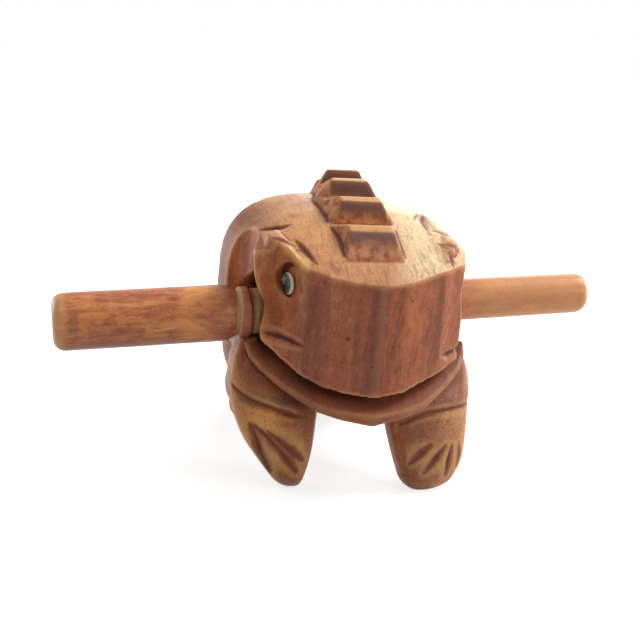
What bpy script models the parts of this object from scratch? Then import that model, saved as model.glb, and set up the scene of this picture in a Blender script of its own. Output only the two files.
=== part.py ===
"""Frog guiro: a hollow frog carved from one block of wood, with its striking stick through the throat.

The frog looks along -Y, and +Z is up. Carving is given in millimetres in the frog's own frame,
where X is its left, its middle plane is X = 0 and its feet stand on Z = 0. The whole part is
moved so that the middle of its outline, stick included, stands over the origin.
"""

import math

import bmesh
import bpy
import numpy as np
from mathutils import Euler, Matrix, Vector
from mathutils.bvhtree import BVHTree

MM = 0.001

# Block the frog is carved from
NOSE_Y = -44.5
TAIL_Y = 50.5
BACK_HEIGHT = 72.7
SHOULDER_HALF_WIDTH = 32.2
SNOUT_HALF_WIDTH = 18.0
SNOUT_CORNER_Y = -38.8
CHEEK_HALF_WIDTH = 28.0
CHEEK_REAR_Y = -28.6

# Mouth: a straight saw cut that rises from the lips back into the stick bore
LIP_HEIGHT = 26.4
MOUTH_SLOPE = 0.75
MOUTH_GAP = 3.7
CHIN_DROP = 2.9
LIP_OVERHANG = 0.9

# Stick and the bore it rests in
STICK_Y = -22.0
STICK_TILT = math.radians(4.0)
STICK_LIFT = 0.1
STICK_LEFT_END = -76.4
STICK_RIGHT_END = 65.3
HEAD_RADIUS = 7.2
HEAD_LENGTH = 41.4
NECK_RADIUS = 5.9
RING_RADIUS = 6.5
TIP_RADIUS = 5.5
STICK_END_ROUND = 3.0
BORE_CLEARANCE = 1.95
BORE_HEIGHT = 46.5
BORE_LENGTH = 90.0

# Hollow drilled from the belly
CHAMBER_Y = 1.0
CHAMBER_HALF_WIDTH = 17.0
CHAMBER_HALF_LENGTH = 18.5
CHAMBER_TOP = 60.0
CHAMBER_DOME = 14.0
CHAMBER_MOUTH_SHARE = 0.72
CHAMBER_MOUTH_HEIGHT = 5.0

# Ridge of teeth along the back
TOOTH_COUNT = 8
TOOTH_PITCH = 9.9
FIRST_TOOTH_Y = -31.2
TOOTH_FLAT = 2.7
TOOTH_DEPTH = 4.3
RIDGE_ROOT = 9.0

# Eyes
EYE_HEIGHT = 54.5
EYE_RADIUS = 2.7
EYE_BEAD_HEIGHT = 2.1
EYE_SOCKET_HALF_WIDTH = 3.3
EYE_SOCKET_HALF_HEIGHT = 4.4
EYE_SOCKET_RISE = 0.9
# For each eye: side, x, y of the rim's middle, turn of its look from straight ahead, depth of its socket
EYES = {
    "right_eye": (-1, 22.0, -33.4, math.radians(76.0), 1.9),
    "left_eye": (1, 24.8, -31.0, math.radians(76.0), 2.4),
}

# Hollow scooped in each cheek round the eye
SCOOP_RADIUS = 11.0
SCOOP_HEIGHT = 19.0
# For each side: x, y of its middle on the flat cheek, turn of that flat from straight ahead, depth
SCOOPS = {
    -1: (23.0, -33.7, math.radians(45.6), 2.2),
    1: (25.6, -31.6, math.radians(73.0), 1.1),
}

# Hollows down the neck behind the cheeks: where they stand, radius and length
NECK_HOLLOW_X = 37.4
NECK_HOLLOW_Y = -19.4
NECK_HOLLOW_RADIUS = 10.4
NECK_HOLLOW_HEIGHT = 57.0
NECK_HOLLOW_LENGTH = 34.0

# Dished edge of the stick bore: how far it flares, and where its cone stands
BORE_RIM_FLARE = 3.9
BORE_RIM_X = 30.5
BORE_RIM_DEPTH = 12.0

# Clearance between pieces that touch
GAP = 0.3

# Middle of the whole outline in the frog's frame
MIDDLE_X = (STICK_LEFT_END + STICK_RIGHT_END) / 2
MIDDLE_Y = (NOSE_Y - LIP_OVERHANG + TAIL_Y) / 2

# Segments of the rounds; the rims have their own, so that no face of theirs lies in one of the bore's
BLOCK_SEGMENTS = 42
LIMB_SEGMENTS = 22
ROUND_SEGMENTS = 40
RIM_SEGMENTS = 36


def clear_scene():
    for old in list(bpy.data.objects):
        bpy.data.objects.remove(old, do_unlink=True)


def material(name, colour, roughness, metallic=0.0):
    made = bpy.data.materials.new(name)
    made.use_nodes = True
    shader = made.node_tree.nodes["Principled BSDF"]
    shader.inputs["Base Color"].default_value = (*colour, 1.0)
    shader.inputs["Roughness"].default_value = roughness
    shader.inputs["Metallic"].default_value = metallic
    made.diffuse_color = (*colour, 1.0)
    return made


def along(stations, position, column):
    """Value of one column of a table of stations, on a smooth curve through them."""
    at = [row[0] for row in stations]
    values = [row[column] for row in stations]
    slopes = np.gradient(values, at)
    k = int(np.clip(np.searchsorted(at, position) - 1, 0, len(at) - 2))
    span = at[k + 1] - at[k]
    t = (position - at[k]) / span
    start, end = values[k], values[k + 1]
    leave, arrive = slopes[k] * span, slopes[k + 1] * span
    return (
        start * (2 * t**3 - 3 * t**2 + 1)
        + leave * (t**3 - 2 * t**2 + t)
        + end * (3 * t**2 - 2 * t**3)
        + arrive * (t**3 - t**2)
    )


def power(value, exponent):
    return math.copysign(abs(value) ** exponent, value)


def mesh_object(name, bm, smooth_angle=None):
    bmesh.ops.triangulate(bm, faces=bm.faces)
    bmesh.ops.recalc_face_normals(bm, faces=bm.faces)
    mesh = bpy.data.meshes.new(name)
    bm.to_mesh(mesh)
    bm.free()
    made = bpy.data.objects.new(name, mesh)
    bpy.context.scene.collection.objects.link(made)
    if smooth_angle is not None:
        mesh.shade_smooth()
        mesh.set_sharp_from_angle(angle=smooth_angle)
    return made


def loft(rings):
    """Closed mesh through rings of points in millimetres, with flat ends."""
    bm = bmesh.new()
    loops = [[bm.verts.new(Vector(p) * MM) for p in ring] for ring in rings]
    count = len(loops[0])
    for near, far in zip(loops, loops[1:]):
        for i in range(count):
            j = (i + 1) % count
            bm.faces.new((near[i], near[j], far[j], far[i]))
    bm.faces.new(loops[0][::-1])
    bm.faces.new(loops[-1])
    return bm


def hull(points):
    bm = bmesh.new()
    for point in points:
        bm.verts.new(Vector(point) * MM)
    bmesh.ops.remove_doubles(bm, verts=bm.verts, dist=1e-7)
    bmesh.ops.convex_hull(bm, input=bm.verts)
    bmesh.ops.delete(bm, geom=[v for v in bm.verts if not v.link_faces], context="VERTS")
    bmesh.ops.dissolve_limit(bm, angle_limit=0.001, verts=bm.verts, edges=bm.edges)
    return bm


def both(points):
    """The points with their mirror images across the middle plane."""
    return [(s * x, y, z) for x, y, z in points for s in (-1, 1)]


def slice_off(bm, point, normal):
    """Cut away what lies beyond a plane, on the side its normal points to, and close the cut."""
    cut = bmesh.ops.bisect_plane(
        bm,
        geom=bm.verts[:] + bm.edges[:] + bm.faces[:],
        dist=1e-6,
        plane_co=Vector(point) * MM,
        plane_no=Vector(normal).normalized(),
        clear_outer=True,
    )
    edges = [e for e in cut["geom_cut"] if isinstance(e, bmesh.types.BMEdge)]
    bmesh.ops.edgeloop_fill(bm, edges=edges)
    return bm


# Plan of the face above the lips, from the middle outwards: x, y. The frog's left cheek is cut flatter.
SNOUT_PLAN = [(0.0, NOSE_Y), (7.0, NOSE_Y + 1.0), (13.2, NOSE_Y + 2.9), (SNOUT_HALF_WIDTH, SNOUT_CORNER_Y)]
CHEEK_PLAN = {
    -1: [(CHEEK_HALF_WIDTH, CHEEK_REAR_Y)],
    1: [(24.4, -36.0), (26.8, -28.0)],
}


def front_slices(bm):
    """Cut the block's front into upright facets along the plan of the face."""
    for s, cheek in CHEEK_PLAN.items():
        plan = SNOUT_PLAN + cheek
        for (x0, y0), (x1, y1) in zip(plan, plan[1:]):
            slice_off(bm, (s * x0, y0, 0), (s * (y1 - y0), x0 - x1, 0))
    return bm


# Stations of the block: y, half width, top, bottom, height of the widest line, squareness of the top
BLOCK = [
    (NOSE_Y - 3.0, 30.0, 55.4, 22.0, 45.0, 4.8),
    (-42.0, 30.0, 58.0, 25.0, 45.0, 4.8),
    (-36.0, 30.2, 61.5, 29.0, 45.5, 4.6),
    (-30.0, 30.8, 65.0, 31.0, 46.0, 4.3),
    (-24.0, 31.0, 68.0, 27.0, 46.0, 4.0),
    (-17.0, SHOULDER_HALF_WIDTH - 0.6, 70.6, 20.5, 46.5, 3.4),
    (-9.0, SHOULDER_HALF_WIDTH, 72.2, 18.0, 47.0, 3.2),
    (0.0, SHOULDER_HALF_WIDTH + 0.2, BACK_HEIGHT, 17.0, 47.0, 3.2),
    (8.0, 30.2, BACK_HEIGHT - 1.9, 16.0, 46.0, 3.0),
    (16.0, 27.4, 67.0, 15.5, 44.0, 2.8),
    (24.0, 24.6, 61.4, 15.5, 41.0, 2.6),
    (32.0, 21.4, 54.4, 15.5, 37.5, 2.5),
    (39.0, 17.6, 47.0, 16.5, 34.0, 2.4),
    (44.5, 13.4, 40.4, 18.5, 31.0, 2.3),
    (48.0, 9.4, 35.6, 21.0, 29.0, 2.2),
    (TAIL_Y, 4.2, 31.4, 24.5, 28.0, 2.0),
]
BELLY_SQUARENESS = 2.2


def block_section(y):
    """Ring of points round the block at y."""
    half, top, bottom, widest, square = (along(BLOCK, y, c) for c in range(1, 6))
    ring = []
    for i in range(BLOCK_SEGMENTS):
        turn = 2 * math.pi * i / BLOCK_SEGMENTS
        c, s = math.cos(turn), math.sin(turn)
        exponent = square if s > 0 else BELLY_SQUARENESS
        reach = top - widest if s > 0 else widest - bottom
        ring.append((half * power(c, 2 / exponent), y, widest + reach * power(s, 2 / exponent)))
    return ring


def make_block():
    """Head and body as one smooth block, faceted at the front."""
    steps = np.concatenate([np.arange(BLOCK[0][0], 43.0, 3.3), [44.0, 46.5, 48.5, TAIL_Y]])
    bm = loft([block_section(y) for y in steps])
    front_slices(bm)
    return mesh_object("block", bm)


# Plan of the lips, from the middle outwards: x, y
LIP_PLAN = [
    (0.0, NOSE_Y),
    (8.0, -43.2),
    (13.5, -41.6),
    (18.0, -39.0),
    (22.0, -36.2),
    (26.0, -32.6),
    (28.3, -29.2),
    (28.9, -26.0),
    (27.4, -21.0),
]


def mouth_height(y):
    """Height of the middle of the mouth's saw cut."""
    return LIP_HEIGHT + MOUTH_SLOPE * (y - NOSE_Y)


def make_jaw():
    """Lower jaw: a slab under the saw cut, a little wider than the upper lip."""
    lip = []
    for x, y in LIP_PLAN:
        out = Vector((x * 0.5, y + 22.0)).normalized() * LIP_OVERHANG
        px, py = x + out.x, y + out.y
        lip.append((px, py, mouth_height(py)))
        lip.append((px, py, mouth_height(py) - MOUTH_GAP / 2 - 0.5))
        drop = CHIN_DROP * (1.0 - 0.6 * x / 30)
        lip.append((px * 0.985, py + 0.7, mouth_height(py) - MOUTH_GAP / 2 - drop))
    return mesh_object("jaw", hull(both(lip)))


def make_chest():
    """Breast under the jaw, between the front legs."""
    points = [
        (9, -36.5, 24.6),
        (15, -33.5, 24.0),
        (24, -29.0, 25.0),
        (27.5, -22.0, 25.0),
        (10, -38.0, 27.0),
        (17, -35.5, 28.5),
        (25, -29.5, 32.5),
        (29.0, -22.0, 36.0),
        (28, -12.0, 27.0),
        (30, -12.0, 36.0),
        (9, -26.0, 38.0),
        (9, -29.0, 20.5),
        (19, -25.0, 20.0),
        (20, -12.0, 18.5),
    ]
    return mesh_object("chest", hull(both(points)))


def back_height(y):
    return along(BLOCK, y, 2)


def ridge_crest(y):
    """Height of the line through the tips of the teeth."""
    return back_height(y) + float(np.interp(y, [-36, -31, -21, -11, 0, 12], [3.3, 4.1, 5.7, 6.4, 6.6, 4.3]))


def ridge_middle(y):
    """The ridge wanders a little off the middle plane, as it was sawn by eye."""
    return float(np.interp(y, [-34, -21, -11, 0, 12], [0.0, -0.8, -1.1, 0.2, 0.0]))


def ridge_half_width(y, top):
    """Half width of the ridge at its foot or along its top."""
    if top:
        return float(np.interp(y, [-36, -22, -10, 5, 30, 46], [6.2, 5.4, 4.6, 4.3, 3.6, 2.6]))
    return float(np.interp(y, [-36, -22, -10, 0, 8, 24, 44], [8.0, 8.9, 8.9, 7.4, 6.5, 6.0, 4.4]))


def tooth_tips():
    """Y of each tooth's tip: even steps along the curved back."""
    tips = [FIRST_TOOTH_Y]
    while len(tips) < TOOTH_COUNT:
        y = tips[-1]
        slope = (ridge_crest(y + 3) - ridge_crest(y)) / 3
        tips.append(y + TOOTH_PITCH * 1.12 / math.hypot(1, slope))
    return tips


def back_frame(y):
    """Directions along the back and square to it, in the middle plane."""
    run = Vector((0, 2, back_height(y + 1) - back_height(y - 1))).normalized()
    return run, Vector((0, -run.z, run.y))


def make_ridge():
    """Saw-toothed ridge with sloping side walls, its teeth square to the back."""
    tips = tooth_tips()
    places = []
    for n, y in enumerate(tips):
        run, up = back_frame(y)
        tip = Vector((0, y, ridge_crest(y)))
        if n > 0:
            climb = max(0.0, run.z / run.y)
            face = Vector((0, -0.12, -1)).normalized() if climb > 0 else -up
            notch = tip - run * TOOTH_FLAT / 2 + face * TOOTH_DEPTH * (1 + climb)
            before = places[-1]
            places.append((notch, before[1].lerp(tip - up * RIDGE_ROOT, 0.6)))
        for s in (-1, 1):
            places.append((tip + run * s * TOOTH_FLAT / 2, tip + run * s * 0.3 - up * RIDGE_ROOT))
    first_up, last_run, last_up = back_frame(tips[0])[1], *back_frame(tips[-1])
    front_y = tips[0] - 6.4
    front = Vector((0, front_y, back_height(front_y) - 0.6))
    places.insert(0, (front, front - first_up * 3))
    back = Vector((0, tips[-1], ridge_crest(tips[-1]))) + last_run * 5.5 - last_up * (RIDGE_ROOT - 3)
    places.append((back, back - last_up * 3))
    bm = bmesh.new()
    rows = []
    for high, low in places:
        y = high.y
        share = min(1.0, (ridge_crest(y) - high.z) / (ridge_crest(y) - back_height(y)))
        half = ridge_half_width(y, True) * (1 - share) + ridge_half_width(y, False) * share
        wide = ridge_half_width(y, False) + 2.0
        corners = [(-half, high), (half, high), (wide, low), (-wide, low)]
        rows.append([bm.verts.new(Vector((x + ridge_middle(y), p.y, p.z)) * MM) for x, p in corners])
    for near, far in zip(rows, rows[1:]):
        for i in range(4):
            j = (i + 1) % 4
            bm.faces.new((near[i], near[j], far[j], far[i]))
    bm.faces.new(rows[0][::-1])
    bm.faces.new(rows[-1])
    return mesh_object("ridge", bm)


# The frog's left brow is cut a little narrower
BROW_SHARES = {-1: 1.0, 1: 0.93}


def make_brow(side):
    """Low crest over an eye, from the snout's corner back to the end of the cheek."""
    # x, y, rise over the eye
    crest = [
        (17.5, -38.2, 3.9),
        (20.5, -36.0, 7.3),
        (23.2, -32.8, 10.1),
        (25.6, -28.6, 11.1),
        (26.0, -23.0, 10.9),
        (18.5, -35.0, 6.9),
        (21.0, -31.0, 10.1),
        (23.0, -26.0, 11.9),
        (22.0, -19.0, 11.9),
        (27.0, -29.5, 5.5),
        (27.0, -22.0, 3.5),
        (16.0, -36.0, 1.5),
        (16.0, -20.0, 5.5),
        (27.0, -20.0, -4.5),
        (24.0, -34.5, -2.5),
    ]
    bm = hull([(side * x * BROW_SHARES[side], y, EYE_HEIGHT + rise) for x, y, rise in crest])
    front_slices(bm)
    return mesh_object("brow", bm)


# Front legs by height: z, inner x, outer x, front y, rear y
RIGHT_LEG = [
    (0.0, 13.2, 17.8, -30.6, -24.6),
    (1.2, 12.8, 19.6, -32.2, -24.4),
    (4.0, 12.4, 22.2, -34.4, -24.6),
    (8.0, 11.7, 25.2, -36.0, -24.2),
    (13.0, 11.2, 28.8, -37.4, -23.6),
    (18.0, 10.8, 31.2, -37.4, -22.4),
    (23.0, 10.2, 32.8, -36.6, -20.6),
    (28.0, 10.0, 33.2, -34.6, -17.6),
    (34.0, 11.0, 31.8, -30.0, -13.0),
    (38.0, 14.0, 29.0, -26.0, -13.0),
]
LEFT_LEG = [
    (0.0, 15.6, 21.8, -36.0, -29.0),
    (1.2, 13.8, 25.2, -37.0, -27.6),
    (4.0, 12.4, 28.0, -37.8, -26.6),
    (8.0, 11.0, 29.6, -38.2, -25.4),
    (13.0, 9.4, 30.2, -38.2, -24.2),
    (18.0, 8.2, 30.4, -37.8, -23.0),
    (23.0, 7.6, 31.0, -36.6, -20.6),
    (28.0, 8.4, 31.6, -34.6, -17.6),
    (34.0, 11.0, 31.0, -30.0, -13.0),
    (38.0, 14.0, 29.0, -26.0, -13.0),
]
LEG_SQUARENESS = 2.7


def make_leg(side, table):
    """Front leg: a flat paddle that narrows to the foot."""
    rings = []
    for z in np.concatenate([[0.0, 0.5, 1.2, 2.4], np.arange(4.0, 38.1, 2.43)]):
        inner, outer, front, rear = (along(table, z, c) for c in range(1, 5))
        mid_x, mid_y = (inner + outer) / 2, (front + rear) / 2
        half_x, half_y = (outer - inner) / 2, (rear - front) / 2
        ring = []
        for i in range(LIMB_SEGMENTS):
            turn = 2 * math.pi * i / LIMB_SEGMENTS
            x = mid_x + half_x * power(math.cos(turn), 2 / LEG_SQUARENESS)
            y = mid_y + half_y * power(math.sin(turn), 2 / LEG_SQUARENESS)
            ring.append((side * x, y, z))
        rings.append(ring)
    return mesh_object("leg", loft(rings))


def ellipsoid(name, middle, radii, turn, floor=None):
    """Rounded lump with semi-axes in millimetres, turned by Euler angles."""
    bm = bmesh.new()
    bmesh.ops.create_uvsphere(bm, u_segments=20, v_segments=12, radius=1.0)
    size = Matrix.Diagonal((*(Vector(radii) * MM), 1.0))
    lay = Euler(turn).to_matrix().to_4x4()
    bmesh.ops.transform(bm, matrix=Matrix.Translation(Vector(middle) * MM) @ lay @ size, verts=bm.verts)
    if floor is not None:
        slice_off(bm, (0, 0, floor), (0, 0, -1))
    return mesh_object(name, bm)


# Folded rear leg: name, middle, semi-axes, pitch and splay in degrees, height it is cut level at
HAUNCH = [
    ("thigh", (17.4, 22.0, 25.5), (8.6, 17.0, 14.0), -20.0, 12.0, None),
    ("shank", (16.4, 30.5, 9.0), (6.4, 12.5, 8.4), -12.0, 6.0, 0.0),
    ("rear_foot", (15.4, 31.0, 2.2), (5.6, 12.5, 4.4), 0.0, 14.0, 0.0),
]


def make_haunch(side):
    """Folded rear leg: thigh, shank and flat foot."""
    made = []
    for name, middle, radii, pitch, splay, floor in HAUNCH:
        turn = (math.radians(pitch), 0, side * math.radians(splay))
        made.append(ellipsoid(name, (side * middle[0], *middle[1:]), radii, turn, floor))
    return made


# Knife cuts: how far the V cutter stands out of the surface, its steps along the line, and the
# distance over which a cut runs out at its ends
KNIFE_LIFT = 1.1
KNIFE_STEP = 2.2
KNIFE_RUN_OUT = 3.5
# How far off the surface a line of a cut may be drawn
KNIFE_REACH = 4.0


def laid_on(surface, place, heart):
    """A place near the surface moved onto it, along the line from the heart, and that direction."""
    level = place.z if heart[2] is None else heart[2]
    outward = (place - Vector((heart[0], heart[1], level))).normalized()
    hit = surface.ray_cast((place + outward * KNIFE_REACH) * MM, -outward, 2 * KNIFE_REACH * MM)[0]
    return (place if hit is None else hit / MM), outward


def knife_cut(name, line, width, depth, heart, surface):
    """V cut along a line laid on the surface, shallow at both ends; level if the heart has no height."""
    points = [Vector(p) for p in line]
    places = []
    for start, end in zip(points, points[1:]):
        steps = max(1, round((end - start).length / KNIFE_STEP))
        places += [start.lerp(end, n / steps) for n in range(steps)]
    laid = [laid_on(surface, place, heart) for place in places + [points[-1]]]
    rings = []
    for n, (place, outward) in enumerate(laid):
        run = laid[min(n + 1, len(laid) - 1)][0] - laid[max(n - 1, 0)][0]
        side = run.cross(outward).normalized()
        from_end = min((place - laid[0][0]).length, (place - laid[-1][0]).length)
        share = min(1.0, 0.15 + 0.85 * from_end / KNIFE_RUN_OUT)
        spread = side * (width / 2 * (share + KNIFE_LIFT / depth))
        high = place + outward * KNIFE_LIFT
        rings.append([high + spread, high - spread, place - outward * depth * share])
    return mesh_object(name, loft(rings))


def bore(name, middle, axis, radius, length, segments=ROUND_SEGMENTS, radius_far=None):
    """Round cutter along an axis."""
    bm = bmesh.new()
    far = radius if radius_far is None else radius_far
    bmesh.ops.create_cone(
        bm, cap_ends=True, segments=segments, radius1=radius * MM, radius2=far * MM, depth=length * MM
    )
    lay = Vector(axis).to_track_quat("Z", "Y").to_matrix().to_4x4()
    bmesh.ops.transform(bm, matrix=Matrix.Translation(Vector(middle) * MM) @ lay, verts=bm.verts)
    return mesh_object(name, bm)


def make_mouth_cut():
    """Saw cut between the lips, from the nose back into the stick bore."""
    normal = Vector((0, -MOUTH_SLOPE, 1)).normalized()
    half = MOUTH_GAP / 2 * normal.z
    run = Vector((0, 1, MOUTH_SLOPE)).normalized()
    front = Vector((0, NOSE_Y, LIP_HEIGHT)) - run * 8
    rear = Vector((0, STICK_Y, mouth_height(STICK_Y)))
    points = []
    for place in (front, rear):
        for s in (-1, 1):
            for x in (-45, 45):
                points.append(place + normal * half * s + Vector((x, 0, 0)))
    return mesh_object("mouth_cut", hull(points))


def eye_setting(name):
    """Middle of an eye's rim, the direction it looks in, and the middle of its socket's floor."""
    side, x, y, yaw, depth = EYES[name]
    axis = Vector((side * math.sin(yaw), -math.cos(yaw), 0.0))
    rim = Vector((side * x, y, EYE_HEIGHT))
    return rim, axis, rim - axis * depth


def make_scoop(side):
    """Gouge cut that hollows the cheek."""
    x, y, yaw, depth = SCOOPS[side]
    outward = Vector((side * math.sin(yaw), -math.cos(yaw), 0))
    place = Vector((side * x, y, EYE_HEIGHT)) + outward * (SCOOP_RADIUS - depth)
    return ellipsoid("cheek_scoop", place, (SCOOP_RADIUS, SCOOP_RADIUS, SCOOP_HEIGHT), (0, 0, 0))


def make_neck_step(side):
    """Cut that ends the cheek in a straight upright edge, above the mouth."""
    corners = []
    for y in (CHEEK_REAR_Y - 2.9, NECK_HOLLOW_Y):
        for z in (mouth_height(y), BACK_HEIGHT + 8):
            inner = CHEEK_HALF_WIDTH + 0.2 - 0.12 * (y - CHEEK_REAR_Y) + 0.13 * (z - EYE_HEIGHT)
            corners += [(side * inner, y, z), (side * 45, y, z)]
    return mesh_object("neck_step", hull(corners))


def make_chamber():
    """Domed hollow that narrows down to its mouth in the belly."""
    bm = bmesh.new()
    bmesh.ops.create_uvsphere(bm, u_segments=32, v_segments=16, radius=1.0)
    bmesh.ops.delete(bm, geom=[v for v in bm.verts if v.co.z < -0.001], context="VERTS")
    dome = Matrix.Diagonal((CHAMBER_HALF_WIDTH * MM, CHAMBER_HALF_LENGTH * MM, CHAMBER_DOME * MM, 1.0))
    place = Matrix.Translation(Vector((0, CHAMBER_Y, CHAMBER_TOP - CHAMBER_DOME)) * MM)
    bmesh.ops.transform(bm, matrix=place @ dome, verts=bm.verts)
    down = bmesh.ops.extrude_edge_only(bm, edges=[e for e in bm.edges if e.is_boundary])
    for vert in [v for v in down["geom"] if isinstance(v, bmesh.types.BMVert)]:
        vert.co.x *= CHAMBER_MOUTH_SHARE
        vert.co.y = CHAMBER_Y * MM + (vert.co.y - CHAMBER_Y * MM) * CHAMBER_MOUTH_SHARE
        vert.co.z = CHAMBER_MOUTH_HEIGHT * MM
    bmesh.ops.edgeloop_fill(bm, edges=[e for e in bm.edges if e.is_boundary])
    return mesh_object("chamber", bm)


def make_eye_socket(name):
    """Tall oval socket for an eye, set a little above the eye's middle like a heavy lid."""
    _, axis, floor = eye_setting(name)
    rings = []
    for distance in (0.0, 12.0):
        middle = floor + Vector((0, 0, EYE_SOCKET_RISE)) + axis * distance
        ring = []
        for i in range(28):
            turn = 2 * math.pi * i / 28
            level = Vector((-axis.y, axis.x, 0)) * EYE_SOCKET_HALF_WIDTH * math.cos(turn)
            ring.append(middle + level + Vector((0, 0, EYE_SOCKET_HALF_HEIGHT * math.sin(turn))))
        rings.append(ring)
    return mesh_object("eye_socket", loft(rings))


def make_cuts():
    """Everything that is sawn, drilled or scooped out of the frog."""
    bore_radius = NECK_RADIUS + BORE_CLEARANCE
    stick_bore = bore("stick_bore", (0, STICK_Y, BORE_HEIGHT), (1, 0, 0), bore_radius, BORE_LENGTH)
    cuts = [make_mouth_cut(), stick_bore, make_chamber()]
    for s in (-1, 1):
        neck = (s * NECK_HOLLOW_X, NECK_HOLLOW_Y, NECK_HOLLOW_HEIGHT)
        lean = (s * -0.06, 0, 1)
        cuts.append(bore("neck_hollow", neck, lean, NECK_HOLLOW_RADIUS, NECK_HOLLOW_LENGTH, RIM_SEGMENTS))
        cuts.append(make_neck_step(s))
        cuts.append(make_scoop(s))
        rim = (s * BORE_RIM_X, STICK_Y, BORE_HEIGHT)
        flared = bore_radius + BORE_RIM_FLARE
        small = bore_radius - GAP
        cuts.append(bore("bore_rim", rim, (s, 0, 0), small, BORE_RIM_DEPTH, RIM_SEGMENTS, flared))
    return cuts + [make_eye_socket(name) for name in EYES]


# Knife cuts in the head: name, points on the surface (x, y, rise over the eye), width, depth
HEAD_CUTS = [
    ("right_brow_cut", [(-26.0, -20.5, 10.8), (-24.4, -22.3, 11.4), (-21.2, -23.8, 12.2), (-19.1, -23.4, 12.9)],
     2.2, 1.2),
    ("right_lid_cut", [(-24.8, -29.9, 10.8), (-22.2, -30.9, 10.3), (-19.5, -31.5, 9.0)], 2.2, 1.2),
    ("right_brow_line", [(-18.9, -29.5, 10.2), (-17.7, -32.3, 8.7), (-15.3, -37.6, 5.9)], 2.0, 1.0),
    ("left_hook_arc", [(14.7, -20.5, 14.5), (15.9, -17.8, 15.1), (18.0, -14.6, 15.5)], 1.4, 0.7),
    ("left_hook_cut", [(19.4, -14.0, 15.2), (17.7, -19.1, 14.5), (17.3, -25.8, 12.2)], 2.8, 1.1),
    ("left_brow_cut", [(19.7, -23.7, 12.6), (22.6, -24.4, 11.7), (23.8, -27.5, 10.9)], 2.4, 1.1),
    ("left_lid_cut", [(18.9, -29.6, 10.1), (20.6, -31.2, 10.0), (23.8, -31.2, 8.8)], 2.6, 1.2),
    ("left_brow_line", [(19.8, -33.6, 8.8), (20.3, -34.9, 7.2), (20.1, -37.0, 5.9)], 2.0, 0.9),
    ("left_soft_line", [(15.8, -27.4, 11.5), (15.8, -30.8, 9.8), (14.5, -35.8, 7.0)], 1.8, 0.6),
]
HEAD_HEART = (0, -18, 45)
MOUTH_CORNER_CUTS = [
    ("right_mouth_corner", [(-26.4, -30.2, 41.6), (-17.2, -39.2, 40.1)], 3.2, 1.6),
    ("left_mouth_corner", [(18.4, -38.6, 37.4), (24.0, -36.4, 37.8), (27.5, -30.5, 38.6)], 2.6, 1.2),
]
MOUTH_HEART_X = 14.0
MOUTH_HEART_Y = -26.0
# Creases and toes of the front legs, each leg with its own hand-cut lines
RIGHT_WRIST = [
    (-32.9, -29.2, 27.9), (-31.0, -33.2, 26.0), (-28.3, -35.2, 24.7), (-23.1, -36.5, 23.2), (-15.4, -36.6, 21.0)
]
LEFT_WRIST = [
    (10.6, -35.9, 18.4), (13.8, -36.8, 20.6), (17.8, -36.9, 21.9), (23.1, -36.5, 22.5), (30.1, -33.4, 23.2)
]
LEG_CUTS = [
    ("right_wrist", RIGHT_WRIST, 2.2, 1.2),
    ("right_toe", [(-28.8, -35.8, 19.2), (-27.3, -36.2, 15.1), (-25.2, -35.0, 10.1), (-22.5, -32.8, 5.2)], 3.4, 1.3),
    ("right_toe", [(-28.0, -36.2, 19.2), (-25.1, -37.1, 16.3), (-21.0, -37.2, 12.2), (-15.9, -35.1, 5.9)], 2.6, 1.4),
    ("right_toe", [(-24.6, -37.2, 17.7), (-20.3, -37.4, 13.8), (-14.8, -36.0, 9.5)], 2.6, 1.2),
    ("left_wrist", LEFT_WRIST, 2.2, 1.1),
    ("left_toe", [(19.0, -38.1, 13.8), (16.3, -38.0, 11.1), (13.9, -37.2, 8.1)], 3.0, 1.1),
    ("left_toe", [(23.0, -38.0, 13.4), (20.8, -38.2, 10.0), (17.8, -37.9, 5.5)], 2.6, 1.2),
    ("left_toe", [(24.8, -37.8, 13.3), (24.3, -37.9, 9.2), (23.9, -37.6, 4.6)], 2.2, 1.0),
    ("left_toe", [(27.0, -37.0, 13.5), (27.5, -36.8, 10.1), (27.0, -36.9, 7.0)], 1.8, 0.8),
]
LEG_HEART = (22.0, -29.0)


def make_knife_cuts(surface):
    cuts = []
    for name, line, width, depth in HEAD_CUTS:
        line = [(x, y, EYE_HEIGHT + rise) for x, y, rise in line]
        cuts.append(knife_cut(name, line, width, depth, HEAD_HEART, surface))
    for name, line, width, depth in MOUTH_CORNER_CUTS:
        heart = (math.copysign(MOUTH_HEART_X, line[0][0]), MOUTH_HEART_Y, None)
        cuts.append(knife_cut(name, line, width, depth, heart, surface))
    for name, line, width, depth in LEG_CUTS:
        heart = (math.copysign(LEG_HEART[0], line[0][0]), LEG_HEART[1], None)
        cuts.append(knife_cut(name, line, width, depth, heart, surface))
    return cuts


def combine(frog, kind, pieces):
    """Join the pieces to the frog, or cut them out of it."""
    for piece in pieces:
        piece.hide_render = True
        piece.display_type = "WIRE"
        work = frog.modifiers.new(piece.name, "BOOLEAN")
        work.operation = kind
        work.solver = "EXACT"
        work.object = piece


def make_frog(finish):
    """The carved frog: the pieces of its form joined, then every cut taken out."""
    frog = make_block()
    frog.name = "frog_body"
    added = [make_jaw(), make_chest(), make_ridge(), make_leg(-1, RIGHT_LEG), make_leg(1, LEFT_LEG)]
    for side in (-1, 1):
        added.append(make_brow(side))
        added += make_haunch(side)
    combine(frog, "UNION", added)
    combine(frog, "DIFFERENCE", make_cuts())
    surface = BVHTree.FromObject(frog, bpy.context.evaluated_depsgraph_get())
    combine(frog, "DIFFERENCE", make_knife_cuts(surface))
    frog.data.materials.append(finish)
    return frog


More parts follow.
